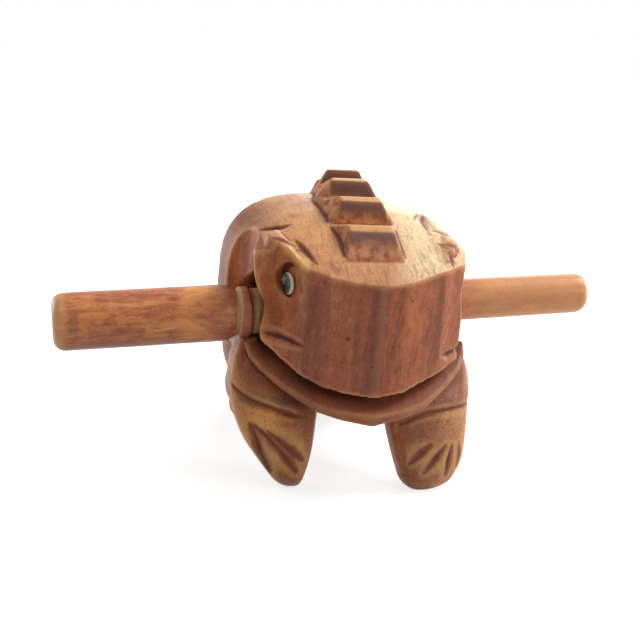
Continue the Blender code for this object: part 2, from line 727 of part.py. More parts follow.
def stick_profile():
    """Outline of the stick from its thick end: distance along it, radius."""
    length = (STICK_RIGHT_END - STICK_LEFT_END) / math.cos(STICK_TILT)
    outline = []
    turns = [math.pi / 2 * i / 5 for i in range(6)]
    for turn in reversed(turns):
        from_end = STICK_END_ROUND * (1 - math.sin(turn))
        outline.append((from_end, HEAD_RADIUS - STICK_END_ROUND * (1 - math.cos(turn))))
    outline += [
        (HEAD_LENGTH, HEAD_RADIUS),
        (HEAD_LENGTH + 1.4, HEAD_RADIUS - 0.25),
        (HEAD_LENGTH + 3.2, NECK_RADIUS + 0.35),
        (HEAD_LENGTH + 3.7, NECK_RADIUS - 0.1),
        (HEAD_LENGTH + 4.3, NECK_RADIUS + 0.2),
        (HEAD_LENGTH + 4.9, RING_RADIUS),
        (HEAD_LENGTH + 6.6, RING_RADIUS),
        (HEAD_LENGTH + 7.2, NECK_RADIUS),
    ]
    for turn in turns:
        from_end = STICK_END_ROUND * (1 - math.sin(turn))
        outline.append((length - from_end, TIP_RADIUS - STICK_END_ROUND * (1 - math.cos(turn))))
    return outline


def turned(name, outline, segments):
    """Turn an outline of (distance along, radius) about the Z axis, with its ends closed."""
    bm = bmesh.new()
    rings = []
    for distance, radius in outline:
        ring = []
        for i in range(segments):
            turn = 2 * math.pi * i / segments
            place = Vector((radius * math.cos(turn), radius * math.sin(turn), distance))
            ring.append(bm.verts.new(place * MM))
        rings.append(ring)
    for near, far in zip(rings, rings[1:]):
        for i in range(segments):
            j = (i + 1) % segments
            bm.faces.new((near[i], near[j], far[j], far[i]))
    bm.faces.new(rings[0][::-1])
    bm.faces.new(rings[-1])
    return mesh_object(name, bm, math.radians(35))


def make_stick(finish):
    """Striking stick, tipped: it lies on the bore's floor at one side and bears on its top at the other."""
    stick = turned("stick", stick_profile(), ROUND_SEGMENTS)
    drop = math.tan(STICK_TILT) * -STICK_LEFT_END
    stick.location = Vector((STICK_LEFT_END, STICK_Y, BORE_HEIGHT + STICK_LIFT - drop)) * MM
    stick.rotation_euler = (0, math.pi / 2 - STICK_TILT, 0)
    stick.data.materials.append(finish)
    return stick


def make_eye(name, finish):
    """Domed bead with a flat back, set in its socket."""
    edge = 0.5
    outline = [(0.0, EYE_RADIUS * 0.86), (edge, EYE_RADIUS)]
    for i in range(1, 7):
        turn = math.pi / 2 * i / 7
        outline.append((edge + (EYE_BEAD_HEIGHT - edge) * math.sin(turn), EYE_RADIUS * math.cos(turn)))
    eye = turned(name, outline, 28)
    _, axis, floor = eye_setting(name)
    eye.location = (floor + axis * GAP) * MM
    eye.rotation_euler = axis.to_track_quat("Z", "Y").to_euler()
    eye.data.materials.append(finish)
    return eye


def build():
    clear_scene()
    varnished = material("varnished_wood", (0.36, 0.16, 0.07), 0.32)
    stick_wood = material("stick_wood", (0.48, 0.24, 0.10), 0.38)
    bead = material("glass_bead", (0.05, 0.05, 0.04), 0.08)
    make_frog(varnished)
    make_stick(stick_wood)
    for name in EYES:
        make_eye(name, bead)
    whole = bpy.data.objects.new("frog_guiro", None)
    bpy.context.scene.collection.objects.link(whole)
    whole.location = Vector((-MIDDLE_X, -MIDDLE_Y, 0)) * MM
    for piece in [o for o in bpy.data.objects if o is not whole]:
        piece.parent = whole


build()
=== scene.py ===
"""Looks of the carved frog guiro: its softened form, the stick, the bead eyes and their finishes."""

import math

import bmesh
import bpy
import numpy as np
from mathutils import Euler, Matrix, Vector, kdtree, noise


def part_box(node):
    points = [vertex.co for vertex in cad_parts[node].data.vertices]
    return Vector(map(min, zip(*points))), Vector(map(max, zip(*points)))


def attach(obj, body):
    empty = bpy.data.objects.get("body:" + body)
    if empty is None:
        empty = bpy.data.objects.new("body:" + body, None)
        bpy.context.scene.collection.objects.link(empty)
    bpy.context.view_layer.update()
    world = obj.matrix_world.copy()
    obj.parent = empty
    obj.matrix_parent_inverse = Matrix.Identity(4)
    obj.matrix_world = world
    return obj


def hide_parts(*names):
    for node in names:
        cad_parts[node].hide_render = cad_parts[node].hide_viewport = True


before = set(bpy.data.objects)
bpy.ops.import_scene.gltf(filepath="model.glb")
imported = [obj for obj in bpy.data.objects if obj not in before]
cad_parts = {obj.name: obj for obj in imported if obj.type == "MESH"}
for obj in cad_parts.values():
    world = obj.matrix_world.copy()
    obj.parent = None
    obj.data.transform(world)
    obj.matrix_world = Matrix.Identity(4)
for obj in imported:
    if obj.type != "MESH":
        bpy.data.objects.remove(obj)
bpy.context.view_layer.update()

MM = 0.001

# Camera: turn from straight ahead, height angle and roll in degrees, distance and target in millimetres
VIEW_TURN = 16.0
VIEW_HEIGHT = 14.0
VIEW_ROLL = 4.5
VIEW_DISTANCE = 300.0
VIEW_TARGET = (2.85, -2.55, 36.8)
LENS = 60.0

# From the frog's own middle plane to the part's origin
FROG_SHIFT = (5.55, -2.55, 0.0)

# Stick, in millimetres from its thick end
STICK_START = (-70.85, -24.55, 41.26)
STICK_TILT = 4.0
STICK_LENGTH = 142.05
HEAD_RADIUS = 7.2
HEAD_LENGTH = 41.4
NECK_RADIUS = 5.9
RING_RADIUS = 6.5
TIP_RADIUS = 5.5
END_ROUND = 3.0

# Frog's remeshed surface
VOXEL = 0.30
SANDING_PASSES = 10
MOST_RUBBED = 0.40
MOST_FILLED = 0.12
MOST_TRIANGLES = 192000
SOLE_LIFT = 0.02

# Bead eyes; the pupil's place ahead and up; where the pupil and the pale ring shade off, from the middle
BEAD_RADIUS = 2.7
BEAD_HEIGHT = 2.1
PUPIL_AHEAD = 0.45
PUPIL_UP = -0.55
PUPIL_EDGE = (1.80, 1.50)
RING_EDGE = (2.44, 2.58)


class Value:
    """A shader socket that takes part in arithmetic."""

    def __init__(self, shader, socket):
        self.shader = shader
        self.socket = socket

    def sum_with(self, operation, first, second=None):
        inputs = {0: first} if second is None else {0: first, 1: second}
        return self.shader.node("ShaderNodeMath", {"operation": operation}, inputs)

    def __add__(self, other):
        return self.sum_with("ADD", self, other)

    def __radd__(self, other):
        return self.sum_with("ADD", other, self)

    def __sub__(self, other):
        return self.sum_with("SUBTRACT", self, other)

    def __rsub__(self, other):
        return self.sum_with("SUBTRACT", other, self)

    def __mul__(self, other):
        return self.sum_with("MULTIPLY", self, other)

    def __rmul__(self, other):
        return self.sum_with("MULTIPLY", other, self)

    def __abs__(self):
        return self.sum_with("ABSOLUTE", self)


class Shader:
    """The nodes of one material, or of the world."""

    def __init__(self, name, world=None):
        self.material = world or bpy.data.materials.new(name)
        self.material.use_nodes = True
        self.tree = self.material.node_tree
        self.surface = self.tree.nodes.get("Principled BSDF")

    def link(self, value, socket):
        if isinstance(value, Value):
            self.tree.links.new(value.socket, socket)
        elif isinstance(value, tuple) and len(value) == 3 and len(socket.default_value) == 4:
            socket.default_value = (*value, 1.0)
        else:
            socket.default_value = value

    def node(self, kind, settings=None, inputs=None, output=0):
        """Any node: its type, its settings, the values or links of its sockets, and the output to use."""
        made = self.tree.nodes.new(kind)
        for name, value in (settings or {}).items():
            setattr(made, name, value)
        for name, value in (inputs or {}).items():
            self.link(value, made.inputs[name])
        return Value(self, made.outputs[output])

    def set(self, **inputs):
        """Values or links of the surface's own sockets, with _ for a space."""
        for name, value in inputs.items():
            self.link(value, self.surface.inputs[name.replace("_", " ")])

    def place(self):
        """Position on the object in millimetres."""
        here = self.node("ShaderNodeTexCoord", output="Object")
        return self.node("ShaderNodeVectorMath", {"operation": "SCALE"}, {0: here, "Scale": 1 / MM})

    def split(self, vector):
        return [self.node("ShaderNodeSeparateXYZ", None, {0: vector}, axis) for axis in range(3)]

    def join(self, x, y, z):
        return self.node("ShaderNodeCombineXYZ", None, {0: x, 1: y, 2: z})

    def scaled(self, vector, size):
        """The vector with each part divided by a size in millimetres."""
        return self.node("ShaderNodeVectorMath", {"operation": "DIVIDE"}, {0: vector, 1: size})

    def noise(self, vector, size, detail=3.0, roughness=0.55, warp=0.0):
        """Soft noise from 0 to 1 with features of a size in millimetres, along each axis."""
        vector = self.scaled(vector, size if isinstance(size, tuple) else (size, size, size))
        inputs = {"Vector": vector, "Scale": 1.0, "Detail": detail}
        inputs.update({"Roughness": roughness, "Distortion": warp})
        return self.node("ShaderNodeTexNoise", {"noise_dimensions": "3D"}, inputs)

    def band(self, value, low, high, start=0.0, end=1.0):
        """Smooth step of a value from start at low to end at high."""
        inputs = {0: value, 1: low, 2: high, 3: start, 4: end}
        return self.node("ShaderNodeMapRange", {"interpolation_type": "SMOOTHSTEP"}, inputs)

    def mix(self, share, first, second):
        """Blend of two colours."""
        settings = {"data_type": "RGBA", "blend_type": "MIX", "clamp_result": False}
        return self.node("ShaderNodeMix", settings, {0: share, 6: first, 7: second}, 2)

    def layered(self, colour, layers):
        """A colour with others laid over it in turn, each by its share."""
        for share, over in layers:
            colour = self.mix(share, colour, over)
        return colour

    def painted(self, name):
        """Value that was painted on the mesh's points."""
        return self.node("ShaderNodeAttribute", {"attribute_name": name}, None, 2)

    def bump(self, height, distance, strength):
        """Surface normal of a height of 0 to 1, which stands for a distance in millimetres."""
        inputs = {"Height": height, "Distance": distance * MM, "Strength": strength}
        return self.node("ShaderNodeBump", None, inputs)


WHITE = (1.0, 1.0, 1.0)

# Colours of the wood, in linear light
RED_BROWN = (0.300, 0.068, 0.017)
WARM_BROWN = (0.500, 0.148, 0.036)
MAUVE_BROWN = (0.330, 0.090, 0.052)
ORANGE_BROWN = (0.400, 0.112, 0.044)
TOOTH_BROWN = (0.140, 0.066, 0.056)
TAN = (0.620, 0.325, 0.145)
PALE = (0.820, 0.670, 0.410)
PURPLE_BROWN = (0.130, 0.042, 0.031)
GROOVE_BROWN = (0.075, 0.020, 0.011)
SHADOW_BROWN = (0.012, 0.005, 0.004)
BLOTCH_DARK = (0.160, 0.038, 0.020)
BLOTCH_LIGHT = (0.600, 0.215, 0.070)
CHEEK_BROWN = (0.210, 0.062, 0.030)
FLANK_BROWN = (0.200, 0.042, 0.012)
JAW_BROWN = (0.190, 0.050, 0.026)
EDGE_YELLOW = (0.700, 0.400, 0.130)
SHALLOW_GROOVE = (0.165, 0.048, 0.028)

# Outside and inside of each front leg, then the jaw's painted shadow on the right and left arm, and right
# and left knife cuts
RIGHT_LEG = (0.590, 0.240, 0.058), (0.270, 0.066, 0.020)
LEFT_LEG = (0.560, 0.265, 0.125), (0.250, 0.090, 0.058)
ARM_SHADOW_BROWNS = (0.085, 0.036, 0.026), (0.190, 0.078, 0.066)
CUT_STAINS = (0.145, 0.030, 0.009), (0.195, 0.062, 0.036)

# Colours of the stick
STICK_BROWNS = (0.390, 0.118, 0.052), (0.580, 0.205, 0.062)
STICK_STREAK = (0.170, 0.052, 0.036)
STICK_FLECK = (0.210, 0.054, 0.032)
STICK_LIGHT_FLECK = (0.740, 0.400, 0.170)
STICK_LIGHT_STREAK = (0.700, 0.390, 0.190)
STICK_TIP = (0.700, 0.335, 0.145)
STICK_SPECK = (0.150, 0.052, 0.038)
STICK_UNDERSIDE_SHADE = (0.130, 0.050, 0.040)
STICK_SHOULDER = (0.260, 0.075, 0.040)
STICK_PAINTED_LIGHT = (0.780, 0.330, 0.090)
STICK_BEVEL = (0.640, 0.340, 0.130)
STICK_GROOVE = (0.460, 0.300, 0.140)
SOOT = (0.070, 0.048, 0.042)

# Colours of the beads
IRIS = (0.050, 0.066, 0.042), (0.120, 0.140, 0.095)
PUPIL_BLACK = (0.006, 0.006, 0.007)
RING_CREAM = (0.720, 0.610, 0.440)

# Small knots in the face: distance from the middle plane, height, radius
KNOTS = [(-7.7, 43.3, 0.55), (7.8, 52.9, 0.35), (3.6, 41.4, 0.40), (-1.2, 36.5, 0.30)]


def pores(shader, place, size, share):
    """Small dark specks, longer along one axis."""
    cells = shader.node(
        "ShaderNodeTexVoronoi",
        {"feature": "F1"},
        {"Vector": shader.scaled(place, size), "Scale": 1.0, "Randomness": 1.0},
    )
    picked = shader.noise(place, 9.0, 1.0)
    return shader.band(cells, 0.20, 0.06) * shader.band(picked, 1.0 - share, 1.0 - share + 0.08)


def knots(shader, x, z):
    dark = 0.0
    for at_x, at_z, radius in KNOTS:
        offset = shader.join(x - at_x, z - at_z, 0.0)
        away = shader.node("ShaderNodeVectorMath", {"operation": "LENGTH"}, {0: offset}, 1)
        dark = dark + shader.band(away, radius * 1.5, radius * 0.6)
    return dark


class FrogGrain:
    """What the frog's colours share: the place in its own frame, noises, regions, and painted cuts, edges,
    highlights and shade.
    """

    def __init__(self, shader):
        self.place = shader.place()
        x, y, z = shader.split(self.place)
        self.x = x - FROG_SHIFT[0]
        self.y = y - FROG_SHIFT[1]
        self.z = z
        # Painted masks; some carry highlights on edges and crests, painted light on the top and ridge, and
        # shade inside
        for name in ("cavity", "wear", "tooth", "crest", "top", "depth", "ridge", "beside", "stain"):
            setattr(self, name, shader.painted(name))

        # Growth rings stand upright along the frog, wavy and unevenly spaced
        slow_sway = (shader.noise(self.place, (34.0, 30.0, 30.0), 1.0) - 0.5) * 7.0
        quick_sway = (shader.noise(self.place, 2.6, 2.0) - 0.5) * 1.4
        self.across = self.x + (z - 40.0) * -0.06 + (slow_sway + quick_sway)
        self.rings = shader.noise(shader.join(self.across, self.y * 0.10, z * 0.07), 3.4, 2.0, 0.6)
        self.streaks = shader.noise(shader.join(self.across, self.y * 0.16, z * 0.16), 0.85, 3.0, 0.65)
        self.mottle = shader.noise(self.place, (8.0, 8.0, 14.0), 4.0, 0.6)
        self.blotch = shader.noise(self.place, 2.6, 4.0, 0.68)
        self.flecks = shader.noise(self.place, 1.3, 3.0, 0.7)
        self.speckle = shader.noise(self.place, 0.55, 2.0, 0.6)

        # Regions: the face, the front legs below the jaw, the jaw
        below_cut = z - (MOUTH_HEIGHT + (self.y - NOSE_Y) * MOUTH_SLOPE)
        self.face = shader.band(self.y, -33.0, -37.0) * shader.band(z, 24.0, 27.0)
        under_jaw = shader.band(below_cut, -5.5, -7.5) * shader.band(self.y, -18.0, -23.0)
        self.legs = under_jaw * shader.band(abs(self.x), 11.0, 13.5)
        jaw_front = shader.band(below_cut, 0.0, -0.8) * shader.band(below_cut, -14.0, -11.0)
        self.jaw = jaw_front * shader.band(self.y, -26.0, -30.0) * (1.0 - self.legs)


def board_colours(shader, at):
    """The block's wood: the face, one facet darker partly as painted shade, its dark heart stripe, darker
    corners, knots, and blotches of stain.
    """
    # The facet on the frog's right is mauve and darker, partly its own tone and partly painted shade, as it
    # is turned from the key light
    facets_with_shade = shader.mix(shader.band(at.x, 0.5, 4.0), MAUVE_BROWN, ORANGE_BROWN)
    middle = shader.band(abs(at.x + (at.across - at.x) * 0.35 + 0.8), 3.2, 1.0)
    middle = middle * shader.band(at.mottle, 0.25, 0.50)
    corners = shader.band(abs(abs(at.x) - 16.5), 2.6, 0.8) * shader.band(at.mottle, 0.36, 0.56)
    far_cheek = shader.band(at.x, 19.0, 24.0) * shader.band(at.z, 60.0, 55.0)
    flank = shader.band(at.x, -18.0, -25.0) * shader.band(at.y, -14.0, -6.0)
    wood = shader.mix(shader.band(at.mottle, 0.34, 0.66), RED_BROWN, WARM_BROWN)
    return shader.layered(wood, [
        (at.face * 0.78, facets_with_shade),
        (shader.band(at.rings, 0.50, 0.66) * 0.48, PURPLE_BROWN),
        (shader.band(at.rings, 0.46, 0.28) * 0.26, TAN),
        ((middle * 0.62 + corners * 0.55) * at.face, PURPLE_BROWN),
        (knots(shader, at.x, at.z) * at.face * 0.8, GROOVE_BROWN),
        (shader.band(at.blotch, 0.50, 0.68) * 0.50, BLOTCH_DARK),
        (shader.band(at.blotch, 0.46, 0.28) * 0.32, BLOTCH_LIGHT),
        (far_cheek * 0.40, CHEEK_BROWN),
        (flank * 0.80, FLANK_BROWN),
    ])


def leg_colours(shader, at, wood):
    """Front legs, yellower outside and redder inside, the jaw's painted shadow on the arms, and the jaw."""
    wavy = at.x + (at.blotch - 0.5) * 6.0
    right = shader.mix(shader.band(wavy, -26.0, -19.0), *RIGHT_LEG)
    left = shader.mix(shader.band(wavy, 23.0, 17.0), *LEFT_LEG)
    side = shader.band(at.x, -2.0, 2.0)
    # Painted shadow that the jaw casts on the arms under it
    arms = at.legs * shader.band(at.z, 22.5, 25.0) * shader.band(at.y, -30.0, -34.0)
    return shader.layered(wood, [
        (at.legs * 0.75, shader.mix(side, right, left)),
        (arms * 0.70, shader.mix(side, *ARM_SHADOW_BROWNS)),
        (at.jaw * 0.72, JAW_BROWN),
    ])


def worn_colours(shader, at, wood):
    """Top paler, partly handled and partly painted light, creamy on the frog's left with a painted sheen,
    and the fibres, specks and pores.
    """
    pale = shader.band(at.x, 0.0, 13.0) * shader.band(at.x, 22.0, 14.0, 0.45, 1.0)
    return shader.layered(wood, [
        # Upward faces of the top paler: partly handling, partly painted light
        (at.top * shader.band(at.mottle, 0.20, 0.60, 0.45, 0.85), TAN),
        # Painted sheen on the top of the frog's left side, partly paler wood
        (at.top * pale * shader.band(at.flecks, 0.2, 0.6, 0.55, 0.90), PALE),
        (shader.band(at.streaks, 0.46, 0.70) * (0.34 + at.face * 0.16), PURPLE_BROWN),
        (shader.band(at.speckle, 0.52, 0.66) * (0.34 + at.legs * 0.25), PURPLE_BROWN),
        (shader.band(at.speckle, 0.46, 0.28) * (0.06 + at.top * 0.20 + at.legs * 0.20), TAN),
        (pores(shader, at.place, (1.2, 1.2, 2.0), 0.46) * (0.70 - at.top * 0.50), GROOVE_BROWN),
    ])


def cut_colours(shader, at, wood):
    """Teeth darker on their upper faces, lighter edges and painted highlights, painted light on the ridge,
    knife cuts, and painted shade inside.
    """
    groove = shader.mix(shader.band(at.legs + at.top, 0.0, 1.0), GROOVE_BROWN, SHALLOW_GROOVE)
    stain = shader.mix(shader.band(at.x, 8.0, 14.0), *CUT_STAINS)
    # Standing edges lighter: partly from handling, partly painted highlight
    rubbed_and_highlit = at.wear * (1.0 - at.jaw * 0.5) * shader.band(at.mottle, 0.25, 0.60, 0.25, 0.60)
    return shader.layered(wood, [
        # Painted light: the ridge lightened towards tan in patches, on walls that face away from the lamps
        (at.ridge * shader.band(at.blotch, 0.62, 0.40) * 0.55, TAN),
        (at.tooth * shader.band(at.flecks, 0.20, 0.45, 0.75, 1.0), TOOTH_BROWN),
        (rubbed_and_highlit, TAN),
        # Light ridges along the toe cuts, partly handling and partly painted highlight; painted highlight
        # along the right brow
        (at.beside * 0.80, EDGE_YELLOW),
        # Painted highlight on the upward-facing tops of the teeth
        (at.crest * 0.75, TAN),
        (shader.band(at.cavity, 0.08, 0.70) * 0.90, groove),
        (at.stain * 0.88, stain),
        (at.depth, SHADOW_BROWN),
    ])


def frog_wood():
    shader = Shader("frog_varnished_wood")
    at = FrogGrain(shader)
    wood = board_colours(shader, at)
    for layer in (leg_colours, worn_colours, cut_colours):
        wood = layer(shader, at, wood)
    rough = 0.46 + (at.mottle - 0.5) * 0.20 + at.cavity * 0.20 + (at.speckle - 0.5) * 0.14
    rough = rough + at.depth * 0.5 + at.ridge * 0.12
    normal = shader.bump(at.streaks * 0.3 + at.speckle * 0.4 + at.blotch * 0.6, 0.22, 0.50)
    varnish = (1.0 - at.depth) * (1.0 - at.ridge * 0.8) * 0.12
    shader.set(Base_Color=wood, Roughness=rough, Normal=normal, IOR=1.25)
    shader.set(Coat_Weight=varnish, Coat_Roughness=0.26, Coat_IOR=1.5)
    return shader.material


def stick_wood():
    shader = Shader("stick_varnished_wood")
    place = shader.place()
    x, y, z = shader.split(place)
    tilt = math.tan(math.radians(STICK_TILT))
    along = x - STICK_START[0]
    height = z - STICK_START[2] - along * tilt
    depth = y - STICK_START[1]
    cavity = shader.painted("cavity")

    streak = shader.noise(shader.join(x * 0.14, depth, height), 1.4, 4.0, 0.65, 0.5)
    broad = shader.noise(shader.join(x * 0.45, depth, height), 6.0, 4.0, 0.62, 0.4)
    speckle = shader.noise(place, 0.6, 3.0, 0.7)
    flecks = shader.noise(shader.join(x * 0.6, y, z), 1.6, 4.0, 0.7)

    # Painted shade on the underside, reddish from the shoulder to the ring, painted light where the head's
    # shadow falls, sooty near the thick end
    below = shader.band(height, -1.5, -6.0) * shader.band(along, 52.0, 46.0)
    shoulder = shader.band(along, HEAD_LENGTH - 2.0, HEAD_LENGTH + 0.5) * shader.band(along, 60.0, 52.0)
    # Painted light before the shoulder, where the frog's head casts its shadow
    shoulder_painted_light = shader.band(abs(along - HEAD_LENGTH + 7.0), 6.0, 2.0) * shader.band(broad, 0.35, 0.60)
    neck_groove = shader.band(abs(along - HEAD_LENGTH - 3.8), 0.9, 0.5)
    ring_groove = shader.band(abs(along - HEAD_LENGTH - 8.3), 0.8, 0.4)
    upper_soot = shader.band(abs(along - 4.8), 1.8, 0.5) * shader.band(abs(height - 1.2), 4.0, 1.6)
    lower_soot = shader.band(along, 10.0, 3.0) * shader.band(height, -4.2, -6.6)
    soot = (upper_soot * 0.7 + lower_soot) * shader.band(broad, 0.25, 0.50, 0.55, 1.0)

    wood = shader.mix(shader.band(broad, 0.30, 0.70), *STICK_BROWNS)
    wood = shader.layered(wood, [
        (shader.band(streak, 0.49, 0.66) * 0.50, STICK_STREAK),
        (shader.band(flecks, 0.50, 0.62) * 0.50, STICK_FLECK),
        (shader.band(flecks, 0.44, 0.30) * 0.35, STICK_LIGHT_FLECK),
        (shader.band(streak, 0.46, 0.30) * 0.45, STICK_LIGHT_STREAK),
        (pores(shader, place, (3.2, 1.3, 1.3), 0.44) * 0.6, GROOVE_BROWN),
        (shader.band(x, 20.0, 45.0) * 0.60, STICK_TIP),
        (shader.band(speckle, 0.52, 0.74) * 0.20, STICK_SPECK),
        (below * 0.45, STICK_UNDERSIDE_SHADE),
        (shoulder * 0.50, STICK_SHOULDER),
        (shoulder_painted_light * 0.7, STICK_PAINTED_LIGHT),
        (shader.band(along, 3.6, 1.8) * 0.55, STICK_BEVEL),
        ((neck_groove + ring_groove) * 0.70, STICK_GROOVE),
        (soot * 0.62, SOOT),
        (shader.band(cavity, 0.1, 0.8) * 0.7, GROOVE_BROWN),
    ])

    rough = 0.40 + (broad - 0.5) * 0.16 + speckle * 0.06
    normal = shader.bump(streak * 0.4 + flecks * 0.4 + speckle * 0.3, 0.18, 0.45)
    shader.set(Base_Color=wood, Roughness=rough, Normal=normal, IOR=1.28)
    shader.set(Coat_Weight=0.22, Coat_Roughness=0.30, Coat_IOR=1.5)
    return shader.material


def bead_glass():
    shader = Shader("bead")
    cloud = shader.noise(shader.place(), 1.2, 2.0)
    iris = shader.mix(shader.band(cloud, 0.35, 0.65), *IRIS)
    layers = [(shader.painted("pupil"), PUPIL_BLACK), (shader.painted("ring"), RING_CREAM)]
    colour = shader.layered(iris, layers)
    shader.set(Base_Color=colour, Roughness=0.25, IOR=1.30)
    shader.set(Coat_Weight=0.25, Coat_Roughness=0.08, Coat_IOR=1.4)
    return shader.material


def new_object(name, mesh, finish):
    made = bpy.data.objects.new(name, mesh)
    bpy.context.scene.collection.objects.link(made)
    mesh.materials.clear()
    mesh.materials.append(finish)
    mesh.shade_smooth()
    return made


def with_modifier(mesh, kind, **settings):
    """The mesh after one modifier."""
    holder = bpy.data.objects.new("holder", mesh)
    bpy.context.scene.collection.objects.link(holder)
    work = holder.modifiers.new("work", kind)
    for name, value in settings.items():
        setattr(work, name, value)
    graph = bpy.context.evaluated_depsgraph_get()
    made = bpy.data.meshes.new_from_object(holder.evaluated_get(graph))
    bpy.data.objects.remove(holder)
    return made


def points_of(mesh):
    flat = np.empty(len(mesh.vertices) * 3)
    mesh.vertices.foreach_get("co", flat)
    return flat.reshape(-1, 3)


def normals_of(mesh):
    flat = np.empty(len(mesh.vertices) * 3)
    mesh.vertices.foreach_get("normal", flat)
    return flat.reshape(-1, 3)


def set_points(mesh, points):
    mesh.vertices.foreach_set("co", points.ravel())
    mesh.update()


def edges_of(mesh):
    flat = np.empty(len(mesh.edges) * 2, np.int64)
    mesh.edges.foreach_get("vertices", flat)
    return flat.reshape(-1, 2)


def neighbour_mean(values, edges):
    """Mean of each point's neighbours, for a table of values."""
    count = len(values)
    ends = np.concatenate([edges[:, 0], edges[:, 1]])
    others = np.concatenate([edges[:, 1], edges[:, 0]])
    total = np.bincount(ends, minlength=count)
    sums = [np.bincount(ends, weights=values[others, k], minlength=count) for k in range(values.shape[1])]
    return np.stack(sums, 1) / np.maximum(total, 1)[:, None]


def sand(mesh, passes, most, most_filled):
    """Rub down edges and fill cuts, each by no more than a distance in millimetres."""
    edges = edges_of(mesh)
    start, normals = points_of(mesh), normals_of(mesh)
    points = start.copy()
    for _ in range(passes):
        points += (neighbour_mean(points, edges) - points) * 0.6
    shift = points - start
    length = np.linalg.norm(shift, axis=1) / MM
    filling = np.einsum("ij,ij->i", shift, normals) > 0
    limit = np.where(filling, most_filled, most)
    set_points(mesh, start + shift * (np.tanh(length / limit) * limit / np.maximum(length, 1e-9))[:, None])


def tool_marks(mesh, size, height):
    """Slow unevenness that a knife and sandpaper leave."""
    points, normals = points_of(mesh), normals_of(mesh)
    shift = np.empty(len(points))
    for n, point in enumerate(points / (size * MM)):
        shift[n] = noise.noise(Vector(point)) + 0.4 * noise.noise(Vector(point) * 2.3)
    set_points(mesh, points + normals * (shift * height * MM)[:, None])


def bend_of(mesh, spread):
    """How far each point stands above (+) or below (-) the surface around it, in millimetres."""
    edges = edges_of(mesh)
    points = points_of(mesh)
    around = points.copy()
    for _ in range(spread):
        around = around * 0.4 + neighbour_mean(around, edges) * 0.6
    return np.einsum("ij,ij->i", points - around, normals_of(mesh)) / MM


def paint(mesh, name, values):
    layer = mesh.attributes.new(name, "FLOAT", "POINT")
    layer.data.foreach_set("value", np.clip(values, 0.0, 1.0).astype(np.float32))


def smooth_step(values, low, high):
    t = np.clip((values - low) / (high - low), 0.0, 1.0)
    return t * t * (3 - 2 * t)


# Tips of the ridge's teeth: y, height; and the back under them
TEETH = [
    (-31.2, 68.4), (-22.1, 74.3), (-12.1, 78.0), (-1.2, 79.4),
    (9.6, 74.9), (19.1, 69.3), (28.1, 62.3), (36.3, 54.3),
]
BACK_LINE = [
    (-38.0, 60.3), (-30.0, 65.0), (-20.0, 69.6), (-10.0, 72.1),
    (0.0, 72.7), (12.0, 69.1), (25.0, 60.6), (45.0, 39.7),
]


def ridge_zone(points):
    """The ridge of teeth along the middle of the back."""
    x, y, z = (points / MM - np.array(FROG_SHIFT)).T
    back = np.interp(y, *zip(*BACK_LINE))
    return smooth_step(np.abs(x), 10.0, 8.0) * smooth_step(z - back, -0.4, 1.2)


def tooth_faces(points, normals):
    """Upper part of the teeth's faces that look forwards."""
    x, y, z = (points / MM - np.array(FROG_SHIFT)).T
    below = np.full(len(x), 1e3)
    for at_y, at_z in TEETH:
        below = np.minimum(below, np.hypot(y - at_y + 1.4, z - at_z + 0.2))
    upper = smooth_step(below, 5.2, 3.2)
    forwards = smooth_step(-normals[:, 1], 0.45, 0.8)
    return ridge_zone(points) * forwards * upper * smooth_step(np.abs(x + 0.4), 7.0, 5.6)


# Knife cuts, each as its width and its line: in the head as x, y and rise over the eyes
EYE_HEIGHT = 54.5
HEAD_CUTS = [
    (2.2, [(-26.0, -20.5, 10.8), (-24.4, -22.3, 11.4), (-21.2, -23.8, 12.2), (-19.1, -23.4, 12.9)]),
    (2.2, [(-24.8, -29.9, 10.8), (-22.2, -30.9, 10.3), (-19.5, -31.5, 9.0)]),
    (2.0, [(-18.9, -29.5, 10.2), (-17.7, -32.3, 8.7), (-15.3, -37.6, 5.9)]),
    (1.2, [(14.7, -20.5, 14.5), (15.9, -17.8, 15.1), (18.0, -14.6, 15.5)]),
    (3.4, [(19.4, -14.0, 15.2), (17.7, -19.1, 14.5), (17.3, -25.8, 12.2)]),
    (3.2, [(19.7, -23.7, 12.6), (22.6, -24.4, 11.7), (23.8, -27.5, 10.9)]),
    (3.2, [(18.9, -29.6, 10.1), (20.6, -31.2, 10.0), (23.8, -31.2, 8.8)]),
    (2.0, [(19.8, -33.6, 8.8), (20.3, -34.9, 7.2), (20.1, -37.0, 5.9)]),
]

# Painted yellow highlight along the edge of the right brow, given the same way
BROW_LINE = [
    (-23.3, -32.6, 9.6), (-21.7, -33.7, 8.4), (-20.2, -35.8, 7.1),
    (-18.5, -37.4, 5.8), (-17.8, -38.9, 4.7),
]
BROW_EDGE = [(3.4, BROW_LINE)]

